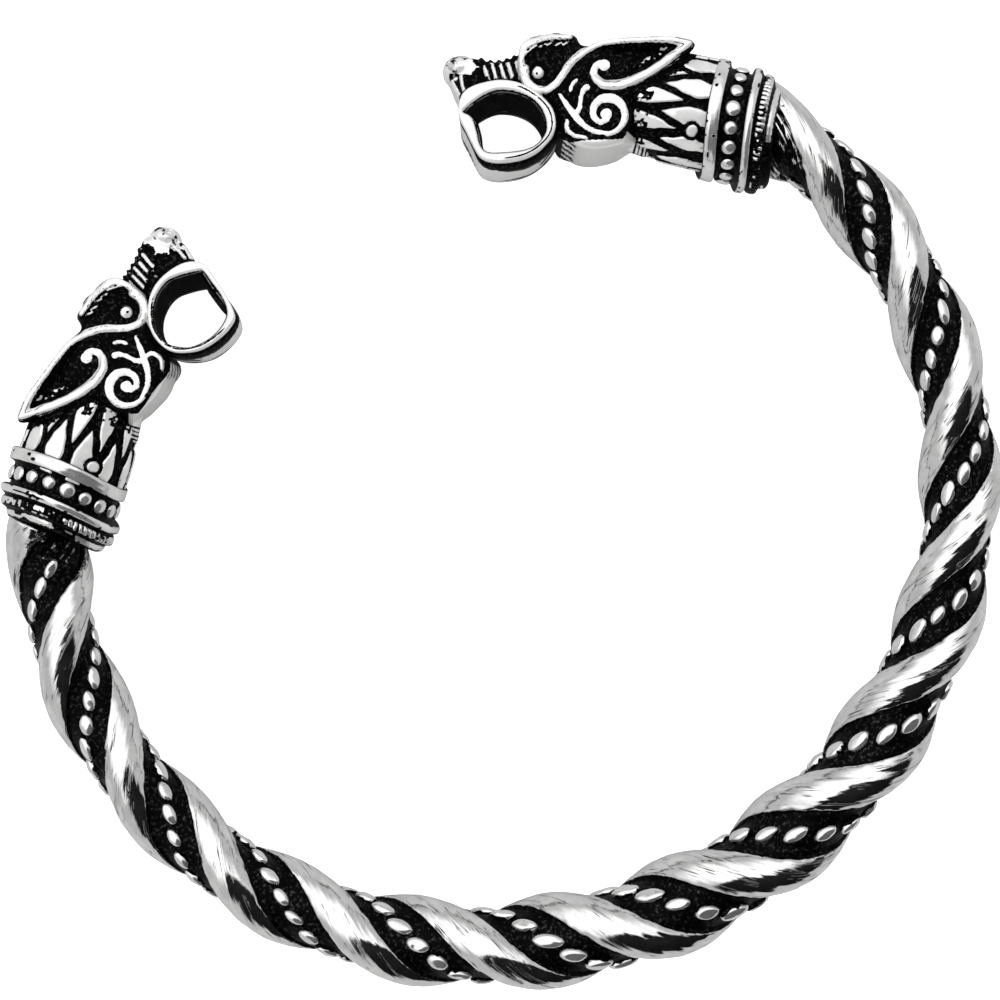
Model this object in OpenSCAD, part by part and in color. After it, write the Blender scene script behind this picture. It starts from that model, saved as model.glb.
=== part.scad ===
// Open arm ring lying flat: a twisted hoop with two beaded channels that ends in two beast heads.
// Millimetres. The wrist opening faces +Z, the gap between the heads faces +Y, and the ring
// rests on z = 0 with its bounding box centred on the origin.

/* [Hoop] */
// Half the width of the hoop's centreline, across the gap's direction
hoop_across = 35.4; // [32:0.1:40]
// Half the length of the hoop's centreline, along the gap's direction
hoop_along = 33.7; // [31:0.1:37]
// Outer radius of the twist beside the heads
twist_r_end = 3.1; // [2.75:0.01:3.3]
// Outer radius of the twist opposite the gap
twist_r_back = 3.74; // [3.4:0.01:4.1]
// Degrees of hoop for half a turn of the twist
half_turn = 17.49; // [16:0.01:20]

/* [Beads] */
// Thickest radius of a channel bead beside the heads
bead_r = 0.34; // [0.3:0.01:0.35]
// Length of a channel bead beside the heads
bead_len = 1.2; // [1:0.05:1.3]
// Degrees of hoop from bead to bead beside the heads
bead_step = 2.48; // [2.3:0.01:2.8]

/* [Collars] */
// Radius of the front ridge, against the neck
front_ridge_r = 4.6; // [4.4:0.05:4.7]
// Radius of the back ridge, the widest ring, which the ring rests on
back_ridge_r = 4.75; // [4.6:0.05:4.9]
// Round beads in each collar
collar_beads = 18; // [14:1:20]
// Teeth of the milled ring
mill_teeth = 40; // [24:1:48]

/* [Heads] */
// Angle of each head from the gap's direction
head_turn = 51.5; // [50:0.5:53]
// Half the thickness of a head at the cheeks
cheek_w = 4.1; // [3.8:0.05:4.3]
// Half the depth of the mouth loop
loop_w = 4.3; // [4.1:0.05:4.5]
// Wrinkles across the snout
snout_bars = 5; // [4:1:6]
// Leaf scales in one row round the neck
neck_leaves = 12; // [10:1:14]

/* [Hidden] */

silver = [0.78, 0.78, 0.79];
pale_silver = [0.88, 0.88, 0.88];
fit_gap = 0.05;

// The oval's centre lies this far ahead of the origin, which centres the bounding box
oval_y = 2.93;

// Centre of each collar's front ridge, from the oval's centre
ridge_x = 28.15;
ridge_y = 18.05;
axis_z = back_ridge_r;

// The twist: strand edges and channel floor as parts of its outer radius, by angle
// from the middle of a strand, for half of the section
twist_section = [
    // angle, part of the radius
    [-45, 0.91],
    [-25, 0.975],
    [0, 1],
    [25, 0.975],
    [45, 0.91],
    [51, 0.76],
    [68, 0.73],
    [73, 0.56],
    [107, 0.56],
    [112, 0.73],
    [129, 0.76]
];
bead_seat = 0.7;
hoop_rings = 124;
strand_start = 9.94;
back_angle = -90;

// Collar rings along the head's axis: each sits a little further in, as the hoop curves
collar_end_u = -4.75;
collar_end_v = -0.75;
collar_slope = collar_end_v / collar_end_u;

// The hoop ends face to face with the collars
end_u = collar_end_u - fit_gap;
end_point = head_point(end_u, end_u * collar_slope);
end_span = atan2(end_point[1], end_point[0]) - back_angle;
bend_span = 12;
end_inset = oval_r(back_angle + end_span) - norm(end_point);

// Place of a point of the right head's axis plane, from the oval's centre
function head_point(u, v) = [
    ridge_x - u * sin(head_turn) + v * cos(head_turn),
    ridge_y + u * cos(head_turn) + v * sin(head_turn)
];
function oval_r(a) = hoop_across * hoop_along / norm([hoop_along * cos(a), hoop_across * sin(a)]);
function clamp01(t) = min(1, max(0, t));
function ease(t) = t * t * (3 - 2 * t);

// 0 along the hoop, rising to 1 where it meets a collar
function near_end(a) = ease(clamp01((abs(a - back_angle) - end_span + bend_span) / bend_span));
function side(a) = a < back_angle ? -1 : 1;
function centre_r(a) = oval_r(a) - end_inset * near_end(a);
function centre_y(a) = centre_r(a) * sin(a);

// Thickest opposite the gap
taper_span = 80;
function fullness(a) = pow(cos(min(abs(a - back_angle), taper_span) * 90 / taper_span), 2);
function twist_r(a) = twist_r_end + (twist_r_back - twist_r_end) * fullness(a);

// The thinner back lies as low as the collars let it
back_y = centre_y(back_angle);
end_y = centre_y(back_angle + end_span);
function centre_z(a) =
    twist_r_back + (axis_z - twist_r_back) * (centre_y(a) - back_y) / (end_y - back_y);

function centre(a) = [centre_r(a) * cos(a), oval_y + centre_y(a), centre_z(a)];

// Heading of the section's outward direction: square to the oval, then square to the collar
function oval_heading(a) =
    atan2(sin(a) / pow(hoop_along, 2), cos(a) / pow(hoop_across, 2));
end_heading_step = head_turn - oval_heading(back_angle + end_span);
function heading(a) = oval_heading(a) + side(a) * end_heading_step * near_end(a);

// Point on the section at a, at angle q up from outward and distance r from the centreline
function section_point(a, q, r) =
    centre(a) + [r * cos(q) * cos(heading(a)), r * cos(q) * sin(heading(a)), r * sin(q)];

// Angle up from outward of the middle of the first strand
function strand_angle(a) = 180 * (strand_start - a) / half_turn;

section_n = 2 * len(twist_section);
function section_row(k) = twist_section[k % len(twist_section)];
function section_angle(k) = section_row(k)[0] + (k < len(twist_section) ? 0 : 180);

function hoop_angle(i) = back_angle + end_span * (1 - 2 * i / (hoop_rings - 1));

module twisted_hoop() {
    points = [
        for (i = [0:hoop_rings - 1])
            for (k = [0:section_n - 1])
                section_point(hoop_angle(i), strand_angle(hoop_angle(i)) + section_angle(k),
                              twist_r(hoop_angle(i)) * section_row(k)[1])
    ];
    // Two triangles a cell, split along its short diagonal
    sides = [
        for (i = [0:hoop_rings - 2])
            for (k = [0:section_n - 1])
                let (
                    here = i * section_n + k,
                    beside = i * section_n + (k + 1) % section_n,
                    next = here + section_n,
                    next_beside = beside + section_n
                )
                    each [[here, beside, next], [beside, next_beside, next]]
    ];
    first_cap = [for (k = [section_n - 1:-1:0]) k];
    last_cap = [for (k = [0:section_n - 1]) (hoop_rings - 1) * section_n + k];
    color(silver)
        polyhedron(points = points, faces = concat(sides, [first_cap, last_cap]), convexity = 10);
}

// Beads grow with the twist and keep clear of the collars
bead_margin = 3.4;
// A bead's end radius and its widest stretch, as parts of its radius and half length
bead_tip = 0.45;
bead_belly = 0.35;
function bead_angles() = [
    for (a = back_angle - end_span + bead_margin;
         a < back_angle + end_span - bead_margin;
         a = a + bead_step * twist_r(a) / twist_r_end) a
];

module channel_bead() {
    half = bead_len / 2;
    rotate([0, 90, 0])
        rotate_extrude($fn = 24)
            polygon([
                [0, -half],
                [bead_r * bead_tip, -half],
                [bead_r, -half * bead_belly],
                [bead_r, half * bead_belly],
                [bead_r * bead_tip, half],
                [0, half]
            ]);
}

// One bead after another along the channel that lies this far round from the first strand
module bead_row(channel) {
    for (a = bead_angles())
        translate(section_point(a, strand_angle(a) + channel, twist_r(a) * bead_seat))
            rotate([0, 0, heading(a) + 90])
                scale(twist_r(a) / twist_r_end)
                    channel_bead();
}

module bead_row_1() {
    color(pale_silver)
        bead_row(90);
}

module bead_row_2() {
    color(pale_silver)
        bead_row(270);
}

// Puts what is drawn along +X from the front ridge at the end of the hoop's left arm
module at_left() {
    translate([-ridge_x, ridge_y + oval_y, axis_z])
        rotate([0, 0, 90 - head_turn])
            children();
}

module at_right() {
    mirror([1, 0, 0])
        at_left()
            children();
}

// A ring of the collar from u0 to u1 with chamfered rims
module collar_ring(u0, u1, r, rim) {
    translate([u0, collar_slope * (u0 + u1) / 2, 0])
        rotate([0, 90, 0])
            rotate_extrude($fn = 64)
                polygon([
                    [0, 0],
                    [r - rim, 0],
                    [r, rim],
                    [r, u1 - u0 - rim],
                    [r - rim, u1 - u0],
                    [0, u1 - u0]
                ]);
}

// A ring of small teeth, milled round its rim
module milled_ring(u0, u1, r, depth) {
    translate([u0, collar_slope * (u0 + u1) / 2, 0])
        rotate([90, 0, 90])
            linear_extrude(u1 - u0)
                polygon([
                    for (k = [0:2 * mill_teeth - 1])
                        (r - (k % 2) * depth) * [cos(k * 180 / mill_teeth), sin(k * 180 / mill_teeth)]
                ]);
}

// Rings of the collar, by where each ends along the axis; each runs a little into the next
front_u = 0.45;
recess_u = -0.5;
back_u = -2.3;
mill_u = -3.1;
small_u = -4.05;
recess_r = 4.15;
recess_bead_r = 0.52;
mill_r = 4.45;
mill_depth = 0.22;
small_r = 3.9;
ridge_rim = 0.2;
recess_rim = 0.05;
small_rim = 0.25;
ring_overlap = 0.1;

module collar() {
    bead_row_u = (recess_u + back_u) / 2;
    collar_ring(recess_u, front_u, front_ridge_r, ridge_rim);
    collar_ring(back_u - ring_overlap, recess_u + ring_overlap, recess_r, recess_rim);
    collar_ring(mill_u, back_u, back_ridge_r, ridge_rim);
    milled_ring(small_u, mill_u + ring_overlap, mill_r, mill_depth);
    collar_ring(collar_end_u, small_u + ring_overlap, small_r, small_rim);
    for (k = [0:collar_beads - 1])
        translate([bead_row_u, collar_slope * bead_row_u, 0])
            rotate([k * 360 / collar_beads, 0, 0])
                translate([0, 0, recess_r])
                    sphere(r = recess_bead_r, $fn = 24);
}

module collar_left() {
    color(silver)
        at_left()
            collar();
}

module collar_right() {
    color(silver)
        at_right()
            collar();
}

// Side view of the cheeks and brow, widest at mid thickness
cheek_outline = [
    [5.2, 4.1],
    [5.2, -3.9],
    [6.3, -4.3],
    [8, -4.6],
    [10.5, -4.6],
    [11.5, -4],
    [13.5, -1.1],
    [15, -0.4],
    [15.1, 1.6],
    [14, 2.7],
    [11.8, 3.4]
];
// The same at the flat faces of the cheeks
cheek_face = [
    [6, 3.2],
    [6, -3.4],
    [10.3, -4.1],
    [11.2, -3.5],
    [13.1, -0.9],
    [14.6, -0.2],
    [14.5, 1.3],
    [13.5, 2.3],
    [11, 2.8]
];
cheek_chamfer = 0.8;
cheek_rim_w = cheek_w - cheek_chamfer;

// Raised lines of a face: along the head, out from its axis, height above mid thickness
brow_line = [[14.6, 0.1, 3.8], [15, 1.3, 3.7], [14.4, 2.4, 3.5], [13.1, 3.1, 3.3], [11.6, 3.45, 3.2]];
ear_line = [
    [14.3, -0.5, 4.0],
    [13.4, -1.0, 4.15],
    [12.4, -0.9, 4.15],
    [11.7, -0.2, 4.15],
    [11.2, 1.0, 4.15],
    [10.4, 2.2, 4.05],
    [9.1, 3.1, 3.9],
    [7.2, 3.8, 3.7],
    [5.0, 4.3, 3.4],
    [2.9, 4.75, 3.0]
];
ear_return = [
    [2.9, 4.75, 3.0],
    [4.3, 2.8, 3.8],
    [5.8, 1.2, 4.2],
    [7.1, 0.3, 4.25],
    [8.3, -0.1, 4.25],
    [9.2, 0.1, 4.25],
    [9.6, 0.8, 4.25],
    [9.1, 1.35, 4.25]
];
stem_line = [[11.6, -1.4, 4.15], [10.6, -2.4, 4.15], [9.7, -3.3, 4.15], [8.9, -3.75, 4.1]];
branch_line = [[9.5, -0.7, 4.15], [9.9, -1.4, 4.15], [10.1, -2.2, 4.15]];
chin_line = [[10.8, -3.2, 4.1], [10.5, -3.9, 4.05], [9.3, -4.25, 3.95]];

// Half widths of the lines
brow_r = 0.42;
ear_line_r = 0.34;
stem_r = 0.28;
scroll_r = 0.26;
fine_line_r = 0.24;

// The eye, and the ball that the ear's return curls round
eye = [13.35, 0.05, 3.95];
curl_ball = [8.85, 1.3, 4.25];
ball_r = 0.5;

// A raised line with bevelled sides through the given points
relief_depth = 0.5;
module relief_end(point, r) {
    translate(point - [0, 0, relief_depth])
        cylinder(h = relief_depth + r / 2, r1 = r * 1.3, r2 = r * 0.6, $fn = 6);
}

module relief(line, r) {
    for (k = [0:len(line) - 2])
        hull() {
            relief_end(line[k], r);
            relief_end(line[k + 1], r);
        }
}

// The cheek's scroll winds inwards from the stem
scroll_u = 8.2;
scroll_v = -2.35;
scroll_w = cheek_w + 0.05;
scroll_steps = 15;
scroll_turn = 560;
scroll_start = -65;
scroll_outer = 1.5;
scroll_inner = 0.3;
function scroll_point(k) =
    let (
        t = k / scroll_steps,
        a = scroll_start - scroll_turn * t,
        r = scroll_outer + (scroll_inner - scroll_outer) * t
    )
        [scroll_u + r * cos(a), scroll_v + r * sin(a), scroll_w];

module cheeks() {
    hull() {
        translate([0, 0, -cheek_rim_w])
            linear_extrude(2 * cheek_rim_w)
                polygon(cheek_outline);
        translate([0, 0, -cheek_w])
            linear_extrude(2 * cheek_w)
                polygon(cheek_face);
    }
}

// Neck from the collar's front ridge to the cheeks
neck_back_u = front_u + fit_gap;
neck_front_u = 6.4;
neck_back_r = 4.35;
neck_front_r = 3.75;
neck_rise = 0.15;
neck_slab = 0.4;
module neck() {
    hull() {
        translate([neck_back_u, 0, 0])
            rotate([0, 90, 0])
                cylinder(h = neck_slab, r = neck_back_r, $fn = 24);
        translate([neck_front_u, neck_rise, 0])
            rotate([0, 90, 0])
                cylinder(h = neck_slab, r = neck_front_r, $fn = 24);
    }
}

// A pointed scale with its keel, lying on the neck with its tip towards the head
module leaf(base_u, tip_u, base_r, tip_r, half_width) {
    keel = 0.25;
    edge = 0.1;
    middle_u = (base_u * 2 + tip_u) / 3;
    middle_r = (base_r * 2 + tip_r) / 3;
    hull() {
        translate([base_u, 0, base_r])
            cube([edge, 2 * half_width, edge], center = true);
        translate([middle_u, 0, middle_r + keel])
            cube([edge, half_width, edge], center = true);
        translate([tip_u, 0, tip_r])
            cube([edge, edge, 2 * edge], center = true);
    }
}

module leaf_row(base_u, tip_u, base_r, tip_r, half_width, offset_turn) {
    for (k = [0:neck_leaves - 1])
        rotate([(k + offset_turn) * 360 / neck_leaves, 0, 0])
            leaf(base_u, tip_u, base_r, tip_r, half_width);
}

// The snout narrows and sinks from the brow to the nose
snout_back_u = 14.6;
snout_front_u = 18.4;
snout_back_w = 3.1;
snout_front_w = 2.2;
snout_back_top = 1.35;
snout_front_top = 1;
snout_low = -1.3;
bar_width = 0.28;
bar_rise = 0.22;
first_bar_u = 15.3;
bar_step = 0.62;
nose_u = 19.3;
nose_size = [1.2, 1.6, 2.1];

// Slice across the snout at u, grown by a margin
module snout_slice(u, margin) {
    t = (u - snout_back_u) / (snout_front_u - snout_back_u);
    half_w = snout_back_w + (snout_front_w - snout_back_w) * t + margin;
    top = snout_back_top + (snout_front_top - snout_back_top) * t + margin;
    low = snout_low;
    translate([u, (top + low) / 2, 0])
        rotate([0, 90, 0])
            linear_extrude(bar_width, center = true)
                polygon([
                    [-half_w, (low - top) / 2],
                    [half_w, (low - top) / 2],
                    [half_w, (top - low) / 4],
                    [half_w * 0.6, (top - low) / 2],
                    [-half_w * 0.6, (top - low) / 2],
                    [-half_w, (top - low) / 4]
                ]);
}

module snout() {
    hull() {
        snout_slice(snout_back_u, 0);
        snout_slice(snout_front_u, 0);
    }
    for (k = [0:snout_bars - 1])
        snout_slice(first_bar_u + k * bar_step, bar_rise);
    translate([nose_u, 0, 0])
        scale(nose_size)
            sphere(r = 1, $fn = 14);
}

// Egg-shaped outline of the mouth loop: a large round at the throat and a small one in front
throat_round = [14.25, -3.85];
throat_r = 2.82;
lip_round = [16.4, -3.3];
lip_r = 2.15;
module loop_outline(grow) {
    hull() {
        translate(throat_round)
            circle(r = throat_r + grow, $fn = 24);
        translate(lip_round)
            circle(r = lip_r + grow, $fn = 24);
    }
}

// Its wall, the rims of its two mouths, and the slit where the upper lip meets the lower
loop_wall = 0.62;
rim_w = 0.7;
rim_out = 0.15;
lip_slit = [[16.8, -3.2], [18.35, -2.35], [16.8, -2.6]];

module mouth_loop() {
    translate([0, 0, -loop_w])
        linear_extrude(2 * loop_w)
            loop_outline(0);
    for (z = [-loop_w, loop_w - rim_w])
        translate([0, 0, z])
            linear_extrude(rim_w)
                loop_outline(rim_out);
}

module mouth_hole() {
    linear_extrude(4 * loop_w, center = true) {
        loop_outline(-loop_wall);
        polygon(lip_slit);
    }
}

// What one face of the head carries
module face_relief() {
    relief(brow_line, brow_r);
    relief(ear_line, ear_line_r);
    relief(ear_return, ear_line_r);
    relief(stem_line, stem_r);
    relief(branch_line, fine_line_r);
    relief(chin_line, fine_line_r);
    relief([for (k = [0:scroll_steps]) scroll_point(k)], scroll_r);
    for (place = [eye, curl_ball])
        translate(place)
            sphere(r = ball_r, $fn = 8);
    ear();
}

// Ear flap that stands up from the neck behind the cheek
ear_outline = [
    [9.6, 2.3, 3.2],
    [9.2, 0.4, 3.6],
    [6.5, 0.5, 3.6],
    [4.4, 2.6, 3.2],
    [3, 4.5, 2.6],
    [5.2, 3.9, 2.6]
];
ear_edge_r = 0.25;
ear_thick = 0.45;
module ear() {
    hull()
        for (corner = ear_outline)
            translate(corner)
                cylinder(h = ear_thick, r = ear_edge_r, $fn = 6);
}

// Cuts off what reaches from the head into the collar
trim_size = 20;
module collar_trim() {
    translate([neck_back_u - trim_size, -trim_size / 2, -trim_size / 2])
        cube(trim_size);
}

module head() {
    difference() {
        union() {
            neck();
            leaf_row(base_u = 2.9, tip_u = 6.2, base_r = 4.15, tip_r = 3.75, half_width = 0.85,
                     offset_turn = 0.5);
            leaf_row(base_u = neck_back_u + 0.25, tip_u = 3.8, base_r = 4.35, tip_r = 4.2,
                     half_width = 1, offset_turn = 0);
            cheeks();
            snout();
            mouth_loop();
            face_relief();
            mirror([0, 0, 1])
                face_relief();
        }
        mouth_hole();
        collar_trim();
    }
}

module head_left() {
    color(silver)
        at_left()
            head();
}

module head_right() {
    color(silver)
        at_right()
            head();
}

twisted_hoop();
bead_row_1();
bead_row_2();
collar_left();
collar_right();
head_left();
head_right();
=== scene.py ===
"""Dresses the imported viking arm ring: antiqued metal rope, beads, collars and beast heads."""
import math

import bmesh
import bpy
import numpy as np
import openvdb
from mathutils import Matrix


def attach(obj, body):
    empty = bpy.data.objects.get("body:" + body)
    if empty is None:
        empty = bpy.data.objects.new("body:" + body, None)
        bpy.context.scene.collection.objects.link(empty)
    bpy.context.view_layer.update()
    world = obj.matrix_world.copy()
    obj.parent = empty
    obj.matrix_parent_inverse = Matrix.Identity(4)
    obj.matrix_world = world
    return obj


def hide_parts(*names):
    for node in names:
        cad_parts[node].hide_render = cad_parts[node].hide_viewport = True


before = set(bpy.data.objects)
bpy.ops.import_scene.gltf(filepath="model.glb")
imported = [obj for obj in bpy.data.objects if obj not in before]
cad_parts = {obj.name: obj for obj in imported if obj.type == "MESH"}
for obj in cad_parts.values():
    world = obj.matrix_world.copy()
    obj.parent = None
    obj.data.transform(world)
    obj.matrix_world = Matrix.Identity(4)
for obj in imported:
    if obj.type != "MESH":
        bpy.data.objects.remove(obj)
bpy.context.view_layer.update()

MM = 0.001

# the hoop's named sizes, in mm and degrees
HOOP_ACROSS, HOOP_ALONG = 35.4, 33.7
TWIST_R_END, TWIST_R_BACK = 3.1, 3.74
HALF_TURN = 17.49
STRAND_START = 9.94
BACK_ANGLE = -90.0
OVAL_Y = 2.93
RIDGE_X, RIDGE_Y = 28.15, 18.05
AXIS_Z = 4.75
HEAD_TURN = 51.5
COLLAR_END_U, COLLAR_END_V = -4.75, -0.75
COLLAR_SLOPE = COLLAR_END_V / COLLAR_END_U
BEND_SPAN, TAPER_SPAN = 12.0, 80.0
BEAD_STEP, BEAD_MARGIN = 2.48, 3.4


def sind(a):
    return np.sin(np.radians(a))


def cosd(a):
    return np.cos(np.radians(a))


def atan2d(y, x):
    return np.degrees(np.arctan2(y, x))


def ease(t):
    t = np.clip(t, 0, 1)
    return t * t * (3 - 2 * t)


def head_point(u, v):
    """Place of a point of the right head's axis plane, from the oval's centre."""
    return (
        RIDGE_X - u * sind(HEAD_TURN) + v * cosd(HEAD_TURN),
        RIDGE_Y + u * cosd(HEAD_TURN) + v * sind(HEAD_TURN),
    )


def oval_r(a):
    return HOOP_ACROSS * HOOP_ALONG / np.hypot(HOOP_ALONG * cosd(a), HOOP_ACROSS * sind(a))


END_U = COLLAR_END_U - 0.05
END_POINT = head_point(END_U, END_U * COLLAR_SLOPE)
END_SPAN = atan2d(END_POINT[1], END_POINT[0]) - BACK_ANGLE
END_INSET = oval_r(BACK_ANGLE + END_SPAN) - math.hypot(*END_POINT)


def near_end(a):
    return ease((abs(a - BACK_ANGLE) - END_SPAN + BEND_SPAN) / BEND_SPAN)


def centre_r(a):
    return oval_r(a) - END_INSET * near_end(a)


def twist_r(a):
    along = np.minimum(abs(a - BACK_ANGLE), TAPER_SPAN) * 90 / TAPER_SPAN
    return TWIST_R_END + (TWIST_R_BACK - TWIST_R_END) * cosd(along) ** 2


BACK_Y = centre_r(BACK_ANGLE) * sind(BACK_ANGLE)
END_Y = centre_r(BACK_ANGLE + END_SPAN) * sind(BACK_ANGLE + END_SPAN)


def centre(a):
    y = centre_r(a) * sind(a)
    z = TWIST_R_BACK + (AXIS_Z - TWIST_R_BACK) * (y - BACK_Y) / (END_Y - BACK_Y)
    return np.stack([centre_r(a) * cosd(a), OVAL_Y + y, z], -1)


def oval_heading(a):
    return atan2d(sind(a) / HOOP_ALONG**2, cosd(a) / HOOP_ACROSS**2)


HEADING_STEP = HEAD_TURN - oval_heading(BACK_ANGLE + END_SPAN)


def heading(a):
    side = np.where(a < BACK_ANGLE, -1, 1)
    return oval_heading(a) + side * HEADING_STEP * near_end(a)


def section_dir(a, q):
    h = heading(a)
    return np.stack([cosd(q) * cosd(h), cosd(q) * sind(h), sind(q)], -1)


def strand_angle(a):
    return 180 * (STRAND_START - a) / HALF_TURN


# noise and meshes
def lattice(ix, iy, iz, seed):
    h = (ix * 374761393 + iy * 668265263 + iz * 1440662683 + seed * 1274126177) & 0xFFFFFFFF
    h = ((h ^ (h >> 13)) * 1274126177) & 0xFFFFFFFF
    return ((h ^ (h >> 16)) & 0xFFFF) / 65535.0 * 2 - 1


def noise(p, seed):
    """Smooth value noise from -1 to 1 at points p, one cell a unit."""
    p = np.asarray(p, float)
    i = np.floor(p).astype(np.int64)
    f = ease(p - i)
    total = 0
    for corner in np.ndindex(2, 2, 2):
        x, y, z = np.moveaxis(np.where(corner, f, 1 - f), -1, 0)
        total = total + x * y * z * lattice(*np.moveaxis(i + corner, -1, 0), seed)
    return total


def noise_at(x, y, z, seed):
    """The same noise at places given axis by axis."""
    return noise(np.stack(np.broadcast_arrays(x, y, z), -1), seed)


def new_mesh(name, points_mm, quads, tris, attributes=None, flow=None):
    """A smooth-shaded mesh object. Points in mm, faces and values come as lists of arrays to join."""
    points = np.concatenate(points_mm).astype(np.float32) * MM
    quads, tris = np.concatenate(quads), np.concatenate(tris)
    mesh = bpy.data.meshes.new(name)
    mesh.vertices.add(len(points))
    mesh.vertices.foreach_set("co", points.ravel())
    loops = np.concatenate([quads.ravel(), tris.ravel()])
    sizes = np.concatenate([np.full(len(quads), 4), np.full(len(tris), 3)]).astype(np.int32)
    starts = np.concatenate([[0], np.cumsum(sizes)[:-1]]).astype(np.int32)
    mesh.loops.add(len(loops))
    mesh.loops.foreach_set("vertex_index", loops.astype(np.int32))
    mesh.polygons.add(len(sizes))
    mesh.polygons.foreach_set("loop_start", starts)
    mesh.polygons.foreach_set("loop_total", sizes)
    mesh.polygons.foreach_set("use_smooth", np.ones(len(sizes), bool))
    for key, values in (attributes or {}).items():
        data = mesh.attributes.new(key, "FLOAT", "POINT")
        data.data.foreach_set("value", np.concatenate(values).astype(np.float32))
    if flow is not None:
        data = mesh.attributes.new("flow", "FLOAT_VECTOR", "POINT")
        data.data.foreach_set("vector", np.concatenate(flow).astype(np.float32).ravel())
    mesh.update(calc_edges=True)
    mesh.validate()
    piece = bpy.data.objects.new(name, mesh)
    bpy.context.scene.collection.objects.link(piece)
    return piece


def grid_quads(rows, cols, start=0):
    """Quads between the rings of a grid of points, ring after ring."""
    r, c = np.meshgrid(np.arange(rows - 1), np.arange(cols), indexing="ij")
    c2 = (c + 1) % cols
    here, there = start + r * cols, start + (r + 1) * cols
    return np.stack([here + c, here + c2, there + c2, there + c], -1).reshape(-1, 4)


# the twisted hoop
ROPE_RINGS = 740
ROPE_INTO_COLLAR = 1.1
STRAND_EDGE = 41.0
STRAND_MIDDLE = 0.40
CHANNEL_FLOOR, CHANNEL_SLOPE = 0.70, 0.035
WALL_SPAN = 3.4
WALL_STEPS = np.array([1.0, 1.9, 2.8, 3.8, 5.0, 7.0])
GROOVE_DEPTH, PIT_DEPTH = 0.014, 0.018
FLARE_SPAN, FLARE = 7.5, 0.12
SWAY_SPAN, SWAY = 13.0, 0.45
WORN_SPAN = 10.0
# Flow coordinates run along and across each strand, in mm, and the two strands lie apart in them
FLOW_R, STRANDS_APART = 3.4, 7.0


def axis(a):
    """The hoop's centre line, which sways outward a little before the collars."""
    sway = SWAY * ease((abs(a - BACK_ANGLE) - END_SPAN + SWAY_SPAN) / SWAY_SPAN)
    return centre(a) + sway[..., None] * section_dir(a, 0 * a)


def strand_section(x):
    """Part of the twist's radius at x degrees from a strand's middle: a round cord, then the channel."""
    off_middle = STRAND_MIDDLE * sind(np.minimum(x, 60))
    cord = STRAND_MIDDLE * cosd(x) + np.sqrt((1 - STRAND_MIDDLE) ** 2 - off_middle**2)
    floor = CHANNEL_FLOOR + CHANNEL_SLOPE * ease((62.0 - x) / 14.0)
    return floor + (cord - floor) * (1 - ease((x - STRAND_EDGE) / WALL_SPAN))


def section_angles():
    """Angles round the twist's section, close together at the strands' edges."""
    half = np.concatenate([
        np.linspace(-STRAND_EDGE, STRAND_EDGE, 35), STRAND_EDGE + WALL_STEPS,
        np.linspace(52, 128, 17), 180 - STRAND_EDGE - WALL_STEPS[::-1],
    ])
    return np.concatenate([half, half + 180])


def rope_soot(a, x, on_strand, flow):
    """Black channels. Beside the collars the strands' edges are dark and the channels have bare streaks."""
    close = 1 - ease((END_SPAN - abs(a - BACK_ANGLE)) / WORN_SPAN)
    blotch = noise(flow * [0.9, 2.8, 1], 31) * 0.6 + noise(flow * [2.2, 5.0, 1], 32) * 0.6
    worn = close * ease((x - 18.0) / 14.0) * (0.46 + 0.35 * blotch)
    bared = close * ease((blotch - 0.15) / 0.2) * np.where(a > BACK_ANGLE, 0.85, 0.5)
    return np.where(on_strand > 0.5, np.maximum(1 - on_strand, worn), 1 - on_strand - bared)


def end_caps(rows, cols, first):
    """Tris that close the first and last ring of a tube with the points numbered first and first + 1."""
    k = np.arange(cols)
    k2 = (k + 1) % cols
    tail = (rows - 1) * cols
    return np.concatenate([
        np.stack([np.full(cols, first), k, k2], -1)[:, ::-1],
        np.stack([np.full(cols, first + 1), tail + k2, tail + k], -1)[:, ::-1],
    ])


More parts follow.
